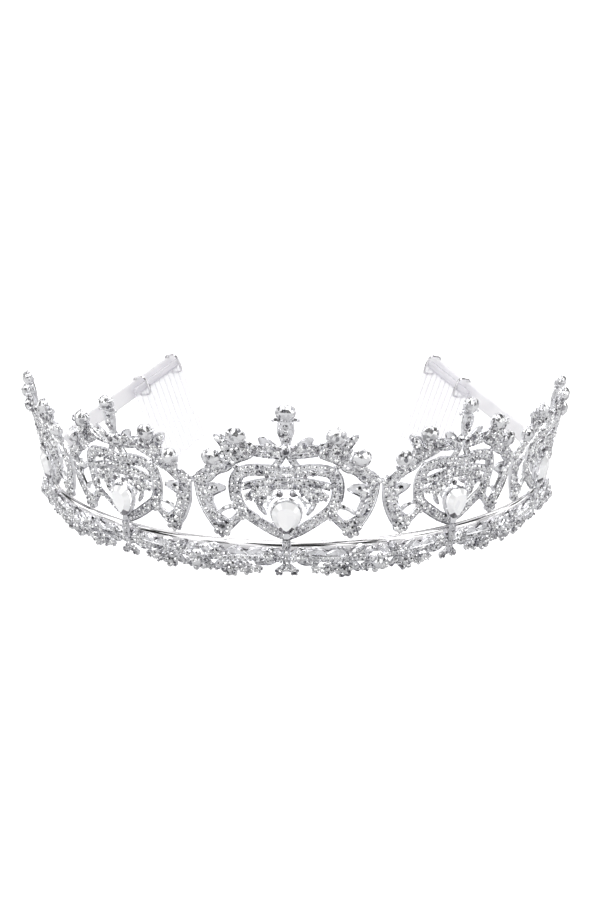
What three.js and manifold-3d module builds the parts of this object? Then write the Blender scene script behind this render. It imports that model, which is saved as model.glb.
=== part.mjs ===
// Bridal tiara: an open crown of five heart motifs soldered along a narrow spring band,
// with a vine swag below each motif, claw-set stones, and a clear comb wired to each tail.
//
// Every metal and stone piece is drawn flat first, with u along the band, v up the crown
// and w outwards, and is then bent round the head by crownPoint. Millimetres, +Z up,
// the front of the tiara faces -Y.
import * as THREE from 'three';
import { mergeVertices } from 'three/addons/utils/BufferGeometryUtils.js';
import Module from 'manifold-3d';

const wasm = await Module();
wasm.setup();

// ---------------------------------------------------------------- driving dimensions
const degrees = Math.PI / 180;

// Plan of one half of the band, from the middle of the front round to the tail.
const planArcs = [
  { radius: 66, turn: 36 * degrees },
  { radius: 85, turn: 28 * degrees },
  { radius: 113, turn: 14 * degrees },
  { radius: 58, turn: 41 * degrees },
];
const tailLength = 47.5;        // straight run at each end
const arcLength = planArcs.reduce((sum, arc) => sum + arc.radius * arc.turn, 0);
const halfLength = arcLength + tailLength;

const lean = 11 * degrees;      // the crown opens outwards towards its top
const riseStart = 100;          // where the band begins to climb towards the tails
const riseFull = 150;           // where it reaches its full slope
const tailSlope = 0.25;
const restTilt = 3.55 * degrees; // standing on the front swag and the comb tips

const bandHeight = 4;
const tailHeight = 5.6;         // the band widens into its tails
const flareStart = 112;         // along the band
const flareEnd = 150;
const bandThickness = 1;
const bandSteps = 56;

const plate = 1.4;              // thickness of the castings
const gap = 0.3;                // air between neighbouring pieces
const swagBack = plate + gap;   // swags lie in front of the band and the motif castings
const swagFront = swagBack + plate;
const stoneBack = plate + gap;

const motifWidth = 45.4;        // middle motif, junction to junction
const motifSizes = { inner: 0.955, outer: 0.918 };
const swagFoot = -9.2;          // lowest point of a swag, measured from the band's top edge

const roundStone = 2.25;        // stone radii
const finialStone = 2.15;
const junctionStone = 2.3;

const combWidth = 26;
const combStart = 172.6;        // along the band, where a comb begins
const spineRadius = 1.2;
const spineDepth = -1.75;       // behind the band
const spineHeight = -bandHeight / 2;
const toothCount = 10;
const toothReach = 29.5;
const toothRoot = 0.7;
const toothTip = 0.35;
const toothPitch = (combWidth - 2 * toothRoot) / (toothCount - 1);
const tieTeeth = [1, 8];        // a wire tie passes after each of these teeth
const wire = 0.7;
const tieSlack = 0.45;          // air inside a tie, round the band and the spine

// ---------------------------------------------------------------- materials
const rhodium = { color: 0xd6d8dc, roughness: 0.16, metalness: 1 };
const crystal = { color: 0xf2f5fa, roughness: 0.03, metalness: 0 };
const clearPlastic = { color: 0xe9ebf2, roughness: 0.25, metalness: 0 };

// ---------------------------------------------------------------- the crown's surface
function planAt(distance) {
  let x = 0;
  let y = 0;
  let heading = 0;
  let left = distance;
  for (const { radius, turn } of planArcs) {
    const angle = Math.min(left / radius, turn);
    x += radius * (Math.sin(heading + angle) - Math.sin(heading));
    y += radius * (Math.cos(heading) - Math.cos(heading + angle));
    heading += angle;
    left -= angle * radius;
  }
  return { x: x + left * Math.cos(heading), y: y + left * Math.sin(heading), heading };
}

function riseAt(distance) {
  const ramp = riseFull - riseStart;
  const along = THREE.MathUtils.clamp(distance - riseStart, 0, ramp);
  return tailSlope * (along * along / (2 * ramp) + Math.max(distance - riseFull, 0));
}

function crownPoint(u, v, w) {
  const side = Math.sign(u) || 1;
  const { x, y, heading } = planAt(Math.abs(u));
  const outward = v * Math.sin(lean) + w * Math.cos(lean);
  const height = v * Math.cos(lean) - w * Math.sin(lean) + riseAt(Math.abs(u));
  return new THREE.Vector3(
    side * (x + outward * Math.sin(heading)),
    y - outward * Math.cos(heading),
    height,
  );
}

// Bends a flat piece onto the crown, its own middle at distance centre along the band.
function bend(geometry, centre, size = 1) {
  const bent = geometry.clone();
  const place = bent.attributes.position;
  for (let i = 0; i < place.count; i += 1) {
    const u = centre + size * place.getX(i);
    const point = crownPoint(u, size * place.getY(i), place.getZ(i));
    place.setXYZ(i, point.x, point.y, point.z);
  }
  return bent;
}

// ---------------------------------------------------------------- solids
function toSolid(geometry) {
  const bare = geometry.clone();
  bare.deleteAttribute('normal');
  bare.deleteAttribute('uv');
  const merged = mergeVertices(bare, 1e-5);
  return new wasm.Manifold(new wasm.Mesh({
    numProp: 3,
    vertProperties: new Float32Array(merged.attributes.position.array),
    triVerts: new Uint32Array(merged.index.array),
  }));
}

function toGeometry(solid) {
  const mesh = solid.getMesh();
  const geometry = new THREE.BufferGeometry();
  geometry.setAttribute('position', new THREE.BufferAttribute(mesh.vertProperties, 3));
  geometry.setIndex(new THREE.BufferAttribute(mesh.triVerts, 1));
  return geometry;
}

function fuse(geometries) {
  return geometries.map(toSolid).reduce((all, next) => all.add(next));
}

function slab(lowX, lowY, lowZ, highX, highY, highZ) {
  const box = new THREE.BoxGeometry(highX - lowX, highY - lowY, highZ - lowZ);
  return box.translate((lowX + highX) / 2, (lowY + highY) / 2, (lowZ + highZ) / 2);
}

// ---------------------------------------------------------------- flat drawing
function thicken(outline, back, depth) {
  const shape = new THREE.Shape(outline);
  return new THREE.ExtrudeGeometry(shape, { depth, bevelEnabled: false }).translate(0, 0, back);
}

// A strap of changing width along a smooth line through the given points.
function strap(points, widthAt, steps, back = 0) {
  const line = new THREE.SplineCurve(points.map(([x, y]) => new THREE.Vector2(x, y)));
  const upper = [];
  const lower = [];
  for (let i = 0; i <= steps; i += 1) {
    const t = i / steps;
    const middle = line.getPoint(t);
    const ahead = line.getTangent(t);
    const across = new THREE.Vector2(-ahead.y, ahead.x).multiplyScalar(widthAt(t) / 2);
    upper.push(middle.clone().add(across));
    lower.unshift(middle.clone().sub(across));
  }
  return thicken([...upper, ...lower], back, plate);
}

function scroll(points, startWidth, endWidth, steps, back = 0) {
  return strap(points, (t) => THREE.MathUtils.lerp(startWidth, endWidth, t), steps, back);
}

function leaf(root, tip, width, back = 0) {
  const slim = 0.12;
  return strap([root, tip], (t) => width * (slim + Math.sin(Math.PI * t)), 3, back);
}

function seat(u, v, radius, back = 0) {
  const disc = new THREE.CylinderGeometry(radius, radius, plate, 7);
  return disc.rotateX(Math.PI / 2).translate(u, v, back + plate / 2);
}

function pearOutline(width, low, high) {
  const middle = high - width / 2;
  const points = [new THREE.Vector2(0, low)];
  for (let i = 0; i <= 6; i += 1) {
    const angle = (-25 + 230 * i / 6) * degrees;
    points.push(new THREE.Vector2(width / 2 * Math.cos(angle), middle + width / 2 * Math.sin(angle)));
  }
  return points;
}

const mirrored = (draw) => [draw(1), draw(-1)];
const flip = (points, side) => points.map(([x, y]) => [side * x, y]);

// ---------------------------------------------------------------- the pieces, drawn flat
const upperStone = { u: 11.2, v: 29.4 };
const lowerStone = { u: 17.3, v: 23.2 };
const finial = { foot: 27.4, bar: 33.9, v: 35.9 };
const pear = { width: 7.8, low: 2.6, high: 12.9 };

const heartLine = [[0, 19], [3.2, 20.2], [7, 20.6], [10.4, 19.6], [12, 16.6], [12, 12.2],
  [10.6, 9], [7, 6], [3.2, 3.4], [0, 1.8]];
const railLine = [[-0.5, 25], [4.6, 25.2], [8.6, 26], [11.2, 28]];
const branchLine = [[8.2, 25.6], [13.4, 21.9], [17.8, 18.8], [22.3, 15.7]];
const sideScrollLine = [[20.8, 16.4], [20, 11.4], [18.3, 6.9], [15.8, 2.4]];
const archLine = [[0, 17.2], [4.6, 16.8], [10.6, 15.6]];

function motifCasting(size) {
  const pieces = [
    seat(0, 25.2, 2),
    thicken(pearOutline(pear.width + 0.6, pear.low - 0.8, pear.high + 0.3), 0, plate),
    ...mirrored((side) => scroll(flip(heartLine, side), 2.8, 2.8, 14)),
    ...mirrored((side) => scroll(flip(railLine, side), 3, 2.4, 3)),
    ...mirrored((side) => scroll(flip(branchLine, side), 3, 2.8, 4)),
    ...mirrored((side) => scroll(flip(sideScrollLine, side), 3.5, 3, 5)),
    ...mirrored((side) => scroll(flip(archLine, side), 1.8, 1.8, 2)),
    ...mirrored((side) => leaf([side * 0.8, 22.6], [side * 5.8, 28.9], 2.2)),
    ...mirrored((side) => scroll([[side * 0.6, 25], [side * 2.7, 20.4]], 1.6, 1.6, 1)),
    ...mirrored((side) => scroll([[side * 15.6, 19.4], [side * 17.2, 22.8]], 1.8, 1.8, 1)),
    ...mirrored((side) => leaf([side * 20, 8.6], [side * 14.4, 14.4], 1.9)),
    ...mirrored((side) => scroll([[side * 10.4, 8.4], [side * 15.6, 2.4]], 2.2, 2.2, 1)),
    ...mirrored((side) => leaf([side * 11.2, 9.6], [side * 17, 5.2], 2.2)),
    ...mirrored((side) => seat(side * upperStone.u, upperStone.v, roundStone + 0.25)),
    ...mirrored((side) => seat(side * lowerStone.u, lowerStone.v, roundStone + 0.25)),
  ];
  const foot = gap / size;
  const half = motifWidth / 2 - gap / 2;
  return toGeometry(fuse(pieces).intersect(toSolid(slab(-half, foot, -1, half, 44, 3))));
}

function finialCasting() {
  const { foot, bar, v } = finial;
  const pieces = [
    scroll([[0, foot], [0, bar]], 3.6, 2.2, 2),
    scroll([[-2.7, bar], [2.7, bar]], 1.2, 1.2, 2),
    scroll([[0, bar - 0.4], [0, v]], 1.6, 1.6, 1),
    seat(0, v, finialStone + 0.25),
  ];
  return toGeometry(fuse(pieces));
}

function swagCasting() {
  const back = swagBack;
  const vine = [[-21.4, -6], [-18.6, -5], [-15.8, -6.2], [-11.2, -5.8], [-7.4, -6.6],
    [-3.4, -5], [0, -5.4]];
  const pieces = [
    scroll([[0, 1.2], [0, swagFoot]], 2.4, 2.8, 2, back),
    ...mirrored((side) => scroll(flip(vine, -side), 1.9, 1.9, 8, back)),
    ...mirrored((side) => leaf([side * 0.4, -4], [side * 4.8, -2.2], 1.7, back)),
    ...mirrored((side) => leaf([side * 16, -6.2], [side * 18.2, -0.6], 1.7, back)),
    ...mirrored((side) => leaf([side * 9.6, -6.2], [side * 6.4, -1], 1.6, back)),
    ...mirrored((side) => leaf([side * 13.8, -6.6], [side * 18, swagFoot + 0.8], 1.7, back)),
    ...mirrored((side) => seat(side * 14.2, -7.1, 1.95, back)),
    ...mirrored((side) => seat(side * 10.1, -6.4, 1.6, back)),
  ];
  const half = motifWidth / 2 - gap / 2;
  const keep = slab(-half, swagFoot, back - 1, half, 2, back + 3);
  return toGeometry(fuse(pieces).intersect(toSolid(keep)));
}

// A brilliant-cut stone: point at the back, girdle, and a flat table at the front.
function brilliant(u, v, radius, back) {
  const profile = [[0, 0], [radius, 0.62 * radius], [radius, 0.74 * radius],
    [0.58 * radius, 1.12 * radius], [0, 1.12 * radius]];
  const turned = new THREE.LatheGeometry(profile.map(([r, h]) => new THREE.Vector2(r, h)), 8);
  return turned.rotateX(Math.PI / 2).translate(u, v, back);
}

function pearStone() {
  const crown = 0.9;
  const shape = new THREE.Shape(pearOutline(pear.width - 2 * crown, pear.low + 1.6, pear.high - crown));
  const cut = { depth: 0.6, bevelThickness: crown, bevelSize: crown, bevelSegments: 1 };
  return new THREE.ExtrudeGeometry(shape, cut).translate(0, 0, stoneBack + crown);
}

// ---------------------------------------------------------------- band, combs and ties
function bandStrip() {
  const length = 2 * halfLength;
  const strip = new THREE.BoxGeometry(length, 1, bandThickness, bandSteps, 1, 1);
  const place = strip.attributes.position;
  for (let i = 0; i < place.count; i += 1) {
    const flare = THREE.MathUtils.smoothstep(Math.abs(place.getX(i)), flareStart, flareEnd);
    place.setY(i, place.getY(i) * THREE.MathUtils.lerp(bandHeight, tailHeight, flare));
  }
  return strip.translate(0, -bandHeight / 2, bandThickness / 2);
}

// Frame of a comb: x along its spine towards the tail, y towards the head, z up its teeth.
function combFrame(side) {
  const start = crownPoint(side * combStart, spineHeight, spineDepth);
  const end = crownPoint(side * (combStart + combWidth), spineHeight, spineDepth);
  const along = end.clone().sub(start).normalize();
  const level = crownPoint(side * combStart, spineHeight - 1, spineDepth);
  const down = level.sub(start);
  const up = down.addScaledVector(along, -down.dot(along)).normalize().negate();
  const across = new THREE.Vector3().crossVectors(up, along);
  return new THREE.Matrix4().makeBasis(along, across, up).setPosition(start);
}

function comb() {
  const spine = new THREE.CylinderGeometry(spineRadius, spineRadius, combWidth, 8);
  const pieces = [spine.rotateZ(Math.PI / 2).translate(combWidth / 2, 0, 0)];
  for (let i = 0; i < toothCount; i += 1) {
    const tooth = new THREE.CylinderGeometry(toothRoot, toothTip, toothReach, 4);
    tooth.rotateX(Math.PI / 2).translate(toothRoot + i * toothPitch, 0, -toothReach / 2);
    pieces.push(tooth);
  }
  return toGeometry(fuse(pieces));
}

// A wire tie is a flat-sided ring round the band and the spine, drawn in the comb's frame.
function wireTie(side) {
  const head = spineRadius + tieSlack;
  const front = spineDepth - bandThickness - tieSlack;
  const half = tailHeight / 2 + tieSlack;
  const corners = (grow) => [[front - grow, -half - grow], [head + grow, -half - grow],
    [head + grow, half + grow], [front - grow, half + grow]];
  const toVectors = (points) => points.map(([x, y]) => new THREE.Vector2(side * x, y));
  const outline = new THREE.Shape(toVectors(corners(wire)));
  outline.holes.push(new THREE.Path(toVectors(corners(0)).reverse()));
  const ring = new THREE.ExtrudeGeometry(outline, { depth: wire, bevelEnabled: false });
  return ring.rotateX(Math.PI / 2).rotateZ(Math.PI / 2).translate(-wire / 2, 0, 0);
}

// ---------------------------------------------------------------- assembly
const crown = new THREE.Group();
crown.rotation.x = restTilt;

function add(name, geometry, finish) {
  const mesh = new THREE.Mesh(geometry, new THREE.MeshStandardMaterial(finish));
  mesh.name = name;
  crown.add(mesh);
  return mesh;
}

add('base_band', bend(bandStrip(), 0), rhodium);

const innerCentre = motifWidth * (1 + motifSizes.inner) / 2;
const outerCentre = motifWidth * (1 + 2 * motifSizes.inner + motifSizes.outer) / 2;
const motifs = [
  { name: 'left_outer', centre: -outerCentre, size: motifSizes.outer },
  { name: 'left_inner', centre: -innerCentre, size: motifSizes.inner },
  { name: 'middle', centre: 0, size: 1 },
  { name: 'right_inner', centre: innerCentre, size: motifSizes.inner },
  { name: 'right_outer', centre: outerCentre, size: motifSizes.outer },
];

for (const { name, centre, size } of motifs) {
  add(`${name}_motif_casting`, bend(motifCasting(size), centre, size), rhodium);
  add(`${name}_finial_casting`, bend(finialCasting(), centre, size), rhodium);
  add(`${name}_swag_casting`, bend(swagCasting(), centre, size), rhodium);
  add(`${name}_pear_stone`, bend(pearStone(), centre, size), crystal);
  const tip = brilliant(0, finial.v, finialStone, stoneBack);
  add(`${name}_finial_stone`, bend(tip, centre, size), crystal);
  for (const [hand, side] of [['left', -1], ['right', 1]]) {
    const upper = brilliant(side * upperStone.u, upperStone.v, roundStone, stoneBack);
    const lower = brilliant(side * lowerStone.u, lowerStone.v, roundStone, stoneBack);
    add(`${name}_upper_stone_${hand}`, bend(upper, centre, size), crystal);
    add(`${name}_lower_stone_${hand}`, bend(lower, centre, size), crystal);
  }
}

// One larger stone covers each place where two swags meet, and each free end.
const junctions = [motifWidth / 2, innerCentre + motifWidth * motifSizes.inner / 2,
  outerCentre + motifWidth * motifSizes.outer / 2 - junctionStone];
junctions.forEach((place, i) => {
  for (const [hand, side] of [['left', -1], ['right', 1]]) {
    const stone = brilliant(0, -5.7, junctionStone, swagFront + gap);
    add(`swag_stone_${hand}_${i + 1}`, bend(stone, side * place), crystal);
  }
});

for (const [hand, side] of [['left', -1], ['right', 1]]) {
  const frame = combFrame(side);
  add(`${hand}_comb`, comb(), clearPlastic).applyMatrix4(frame);
  tieTeeth.forEach((tooth, i) => {
    const tie = wireTie(side).translate(toothRoot + (tooth + 0.5) * toothPitch, 0, 0);
    add(`${hand}_wire_tie_${i + 1}`, tie, rhodium).applyMatrix4(frame);
  });
}

// The origin is under the middle of the whole piece, on the surface that it stands on.
const tiara = new THREE.Group();
tiara.add(crown);
tiara.updateMatrixWorld(true);
const extent = new THREE.Box3().setFromObject(tiara, true);
const middle = extent.getCenter(new THREE.Vector3());
crown.position.set(-middle.x, -middle.y, -extent.min.z);

export default tiara;
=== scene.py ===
import math
import random

import bpy
from mathutils import Matrix, Vector


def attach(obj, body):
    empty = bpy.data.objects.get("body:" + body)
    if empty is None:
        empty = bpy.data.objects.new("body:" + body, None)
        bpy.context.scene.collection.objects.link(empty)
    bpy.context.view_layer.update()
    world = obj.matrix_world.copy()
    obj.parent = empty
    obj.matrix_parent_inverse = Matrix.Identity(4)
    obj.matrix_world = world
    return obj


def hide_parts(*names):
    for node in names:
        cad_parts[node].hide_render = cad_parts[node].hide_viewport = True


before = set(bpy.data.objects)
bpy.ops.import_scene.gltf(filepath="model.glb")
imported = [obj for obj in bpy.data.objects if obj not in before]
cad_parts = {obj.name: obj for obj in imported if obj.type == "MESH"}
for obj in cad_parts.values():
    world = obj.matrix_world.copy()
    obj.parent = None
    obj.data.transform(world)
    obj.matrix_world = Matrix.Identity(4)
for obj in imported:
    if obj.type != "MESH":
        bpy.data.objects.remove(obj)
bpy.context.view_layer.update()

mm = 0.001
degree = math.pi / 180
chance = random.Random(7)

# The crown's shape: plan arcs of one half from the middle of the front, then the straight tail
crown = {
    "arcs": [(66, 36 * degree), (85, 28 * degree), (113, 14 * degree), (58, 41 * degree)],
    "tail": 47.5,
    "lean": 11 * degree,
    "riseStart": 100,
    "riseFull": 150,
    "tailSlope": 0.25,
    "tilt": 3.55 * degree,
    "place": Vector((0, -69.713616, 9.682804)),
}
arcLength = sum(radius * turn for radius, turn in crown["arcs"])
halfLength = arcLength + crown["tail"]


def planAt(distance):
    x = y = heading = 0
    left = distance
    for radius, turn in crown["arcs"]:
        angle = min(left / radius, turn)
        x += radius * (math.sin(heading + angle) - math.sin(heading))
        y += radius * (math.cos(heading) - math.cos(heading + angle))
        heading += angle
        left -= angle * radius
    return x + left * math.cos(heading), y + left * math.sin(heading), heading


def riseAt(distance):
    ramp = crown["riseFull"] - crown["riseStart"]
    along = min(max(distance - crown["riseStart"], 0), ramp)
    return crown["tailSlope"] * (along * along / (2 * ramp) + max(distance - crown["riseFull"], 0))


def crownPoint(u, v, w):
    # u along the band, v up the crown, w outwards, in millimetres; the answer is in metres
    side = -1 if u < 0 else 1
    x, y, heading = planAt(abs(u))
    outward = v * math.sin(crown["lean"]) + w * math.cos(crown["lean"])
    height = v * math.cos(crown["lean"]) - w * math.sin(crown["lean"]) + riseAt(abs(u))
    point = Vector((side * (x + outward * math.sin(heading)), y - outward * math.cos(heading), height))
    return (Matrix.Rotation(crown["tilt"], 3, "X") @ point + crown["place"]) * mm


def bendOnto(piece, centre, size):
    # a flat piece is drawn with x along the band, z up and -y outwards
    for vertex in piece.data.vertices:
        x, y, z = vertex.co
        vertex.co = crownPoint(centre + size * x, size * z, -y)


# ---- small helpers for working by hand
def clearSelection():
    if bpy.context.mode != "OBJECT":
        bpy.ops.object.mode_set(mode="OBJECT")
    bpy.ops.object.select_all(action="DESELECT")


def pickOnly(*pieces):
    clearSelection()
    for piece in pieces:
        piece.select_set(True)
    bpy.context.view_layer.objects.active = pieces[0]


def settle(piece):
    # puts the object at the origin, unturned and unscaled
    pickOnly(piece)
    bpy.ops.object.transform_apply(location=True, rotation=True, scale=True)
    return piece


def joinAll(pieces, name):
    pickOnly(*pieces)
    if len(pieces) > 1:
        bpy.ops.object.join()
    piece = bpy.context.view_layer.objects.active
    piece.name = name
    piece.data.name = name
    return settle(piece)


def copyOf(piece, name=None):
    twin = piece.copy()
    twin.data = piece.data.copy()
    bpy.context.collection.objects.link(twin)
    if name:
        twin.name = name
        twin.data.name = name
    return twin


def cleanUp(piece, distance=0.004):
    pickOnly(piece)
    bpy.ops.object.mode_set(mode="EDIT")
    bpy.ops.mesh.select_all(action="SELECT")
    bpy.ops.mesh.remove_doubles(threshold=distance)
    bpy.ops.mesh.normals_make_consistent(inside=False)
    bpy.ops.object.mode_set(mode="OBJECT")
    return piece


def smoothBy(piece, angle):
    pickOnly(piece)
    bpy.ops.object.shade_smooth_by_angle(angle=angle * degree)
    return piece


def smoothLine(points, steps):
    # a Catmull-Rom line through the points, as a list of (u, v)
    line = []
    last = len(points) - 1
    for i in range(steps + 1):
        place = last * i / steps
        k = min(int(place), last - 1)
        t = place - k
        p0, p1 = points[max(k - 1, 0)], points[k]
        p2, p3 = points[k + 1], points[min(k + 2, last)]
        spot = []
        for a, b, c, d in zip(p0, p1, p2, p3):
            v0, v1 = (c - a) / 2, (d - b) / 2
            spot.append((2 * b - 2 * c + v0 + v1) * t ** 3
                        + (3 * c - 3 * b - 2 * v0 - v1) * t ** 2 + v0 * t + b)
        line.append(tuple(spot))
    return line


def sideways(line, offset):
    # the same line moved to its left by offset, which may change along it
    moved = []
    for i, (u, v) in enumerate(line):
        ahead = line[min(i + 1, len(line) - 1)]
        behind = line[max(i - 1, 0)]
        du, dv = ahead[0] - behind[0], ahead[1] - behind[1]
        length = math.hypot(du, dv) or 1
        shift = offset(i / (len(line) - 1)) if callable(offset) else offset
        moved.append((u - dv / length * shift, v + du / length * shift))
    return moved


def alongLine(line, pitch):
    # evenly spaced spots on a line
    lengths = [0]
    for (u0, v0), (u1, v1) in zip(line, line[1:]):
        lengths.append(lengths[-1] + math.hypot(u1 - u0, v1 - v0))
    count = max(int(lengths[-1] / pitch), 1)
    spots = []
    k = 0
    for i in range(count):
        want = lengths[-1] * (i + 0.5) / count
        while lengths[k + 1] < want:
            k += 1
        t = (want - lengths[k]) / max(lengths[k + 1] - lengths[k], 1e-6)
        spots.append((line[k][0] + t * (line[k + 1][0] - line[k][0]),
                      line[k][1] + t * (line[k + 1][1] - line[k][1]), want / lengths[-1]))
    return spots


def flip(points, side):
    return [(side * u, v) for u, v in points]


def drawWire(line, radius, depth, thick=None, sides=1):
    # a rounded wire along a flat line, depth outwards, flattened to thick
    bpy.ops.curve.primitive_nurbs_path_add()
    curve = bpy.context.object
    spline = curve.data.splines[0]
    while len(line) < 5:
        line = smoothLine(line, 6)
    closed = math.hypot(line[0][0] - line[-1][0], line[0][1] - line[-1][1]) < 0.01
    if closed:
        line = line[:-1]
    spline.points.add(len(line) - len(spline.points))
    spline.type = "POLY"
    spline.use_cyclic_u = closed
    for i, (point, (u, v)) in enumerate(zip(spline.points, line)):
        point.co = (u, 0, v, 1)
        point.radius = radius(i / (len(line) - 1)) if callable(radius) else radius
    curve.data.bevel_depth = 1
    curve.data.bevel_resolution = sides
    curve.data.use_fill_caps = True
    pickOnly(curve)
    bpy.ops.object.convert(target="MESH")
    piece = bpy.context.object
    widest = max(abs(vertex.co.y) for vertex in piece.data.vertices) or 1
    piece.scale.y = (thick or 2 * widest) / (2 * widest)
    piece.location.y = -depth
    return settle(piece)


def drawBall(u, v, depth, radius, detail=1):
    bpy.ops.mesh.primitive_ico_sphere_add(subdivisions=detail, radius=radius, location=(u, -depth, v))
    ball = settle(bpy.context.object)
    return ball


def drawDisc(u, v, depth, radius, thick, sides=20):
    bpy.ops.mesh.primitive_cylinder_add(vertices=sides, radius=radius, depth=thick,
                                        location=(u, -depth, v), rotation=(math.pi / 2, 0, 0))
    disc = settle(bpy.context.object)
    pickOnly(disc)
    bevel = disc.modifiers.new("edge", "BEVEL")
    bevel.width = min(0.18, thick / 3)
    bevel.segments = 2
    bpy.ops.object.modifier_apply(modifier=bevel.name)
    return disc


# ---- shader groups that several finishes share
def newGroup(name, inputs, outputs):
    group = bpy.data.node_groups.new(name, "ShaderNodeTree")
    for label, kind, value in inputs:
        socket = group.interface.new_socket(name=label, in_out="INPUT", socket_type=kind)
        if value is not None:
            socket.default_value = value
    for label, kind in outputs:
        group.interface.new_socket(name=label, in_out="OUTPUT", socket_type=kind)
    return group, group.nodes.new("NodeGroupInput"), group.nodes.new("NodeGroupOutput")


def makePolishGroup():
    # hand polish: soft cloudy roughness, fine rub lines and a faint tarnish in patches
    group, start, end = newGroup("handPolish", [
        ("Scale", "NodeSocketFloat", 1.0), ("Smooth", "NodeSocketFloat", 0.08),
        ("Dull", "NodeSocketFloat", 0.24), ("Bright", "NodeSocketColor", (0.9, 0.9, 0.92, 1)),
        ("Tarnish", "NodeSocketColor", (0.7, 0.69, 0.7, 1)), ("Depth", "NodeSocketFloat", 0.05)],
        [("Color", "NodeSocketColor"), ("Roughness", "NodeSocketFloat"), ("Normal", "NodeSocketVector")])
    add = group.nodes.new
    join = group.links.new
    place = add("ShaderNodeTexCoord")
    scaled = add("ShaderNodeVectorMath")
    scaled.operation = "SCALE"
    join(place.outputs["Object"], scaled.inputs[0])
    join(start.outputs["Scale"], scaled.inputs["Scale"])
    clouds = add("ShaderNodeTexNoise")
    clouds.inputs["Scale"].default_value = 260
    clouds.inputs["Detail"].default_value = 4
    join(scaled.outputs[0], clouds.inputs["Vector"])
    rub = add("ShaderNodeMapping")
    rub.inputs["Scale"].default_value = (1, 1, 9)
    join(scaled.outputs[0], rub.inputs["Vector"])
    lines = add("ShaderNodeTexNoise")
    lines.inputs["Scale"].default_value = 900
    lines.inputs["Detail"].default_value = 2
    join(rub.outputs["Vector"], lines.inputs["Vector"])
    rough = add("ShaderNodeMapRange")
    rough.inputs["From Min"].default_value = 0.35
    rough.inputs["From Max"].default_value = 0.7
    join(clouds.outputs["Fac"], rough.inputs["Value"])
    join(start.outputs["Smooth"], rough.inputs["To Min"])
    join(start.outputs["Dull"], rough.inputs["To Max"])
    join(rough.outputs["Result"], end.inputs["Roughness"])
    patch = add("ShaderNodeValToRGB")
    patch.color_ramp.elements[0].position = 0.5
    patch.color_ramp.elements[1].position = 0.78
    join(clouds.outputs["Fac"], patch.inputs["Fac"])
    tint = add("ShaderNodeMix")
    tint.data_type = "RGBA"
    join(patch.outputs["Color"], tint.inputs["Factor"])
    join(start.outputs["Bright"], tint.inputs["A"])
    join(start.outputs["Tarnish"], tint.inputs["B"])
    join(tint.outputs["Result"], end.inputs["Color"])
    bump = add("ShaderNodeBump")
    bump.inputs["Distance"].default_value = 0.00003
    join(start.outputs["Depth"], bump.inputs["Strength"])
    join(lines.outputs["Fac"], bump.inputs["Height"])
    join(bump.outputs["Normal"], end.inputs["Normal"])
    return group


polishGroup = makePolishGroup()


def newMaterial(name):
    material = bpy.data.materials.new(name)
    material.use_nodes = True
    tree = material.node_tree
    return material, tree.nodes, tree.links, tree.nodes["Principled BSDF"]


def metalFinish(name, bright, tarnish, smooth, dull, scale=1.0, depth=0.05, metallic=1.0):
    material, nodes, links, shader = newMaterial(name)
    polish = nodes.new("ShaderNodeGroup")
    polish.node_tree = polishGroup
    polish.inputs["Scale"].default_value = scale
    polish.inputs["Smooth"].default_value = smooth
    polish.inputs["Dull"].default_value = dull
    polish.inputs["Bright"].default_value = (*bright, 1)
    polish.inputs["Tarnish"].default_value = (*tarnish, 1)
    polish.inputs["Depth"].default_value = depth
    links.new(polish.outputs["Color"], shader.inputs["Base Color"])
    links.new(polish.outputs["Roughness"], shader.inputs["Roughness"])
    links.new(polish.outputs["Normal"], shader.inputs["Normal"])
    shader.inputs["Metallic"].default_value = metallic
    return material


def crystalFinish(name, light, dark, scale, metallic):
    # cut crystal over silver foil: the foil's facets under a clear glassy skin
    material, nodes, links, shader = newMaterial(name)
    shader.inputs["Metallic"].default_value = metallic
    shader.inputs["Coat Weight"].default_value = 1
    shader.inputs["Coat IOR"].default_value = 1.56
    place = nodes.new("ShaderNodeTexCoord")
    facets = nodes.new("ShaderNodeTexVoronoi")
    facets.inputs["Scale"].default_value = scale
    links.new(place.outputs["Object"], facets.inputs["Vector"])
    ramp = nodes.new("ShaderNodeValToRGB")
    ramp.color_ramp.elements[0].position = 0.12
    ramp.color_ramp.elements[0].color = (*dark, 1)
    ramp.color_ramp.elements[1].position = 0.5
    ramp.color_ramp.elements[1].color = (*light, 1)
    links.new(facets.outputs["Color"], ramp.inputs["Fac"])
    links.new(ramp.outputs["Color"], shader.inputs["Base Color"])
    wear = nodes.new("ShaderNodeMapRange")
    wear.inputs["To Min"].default_value = 0.02
    wear.inputs["To Max"].default_value = 0.1
    links.new(facets.outputs["Distance"], wear.inputs["Value"])
    links.new(wear.outputs["Result"], shader.inputs["Roughness"])
    return material


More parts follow.
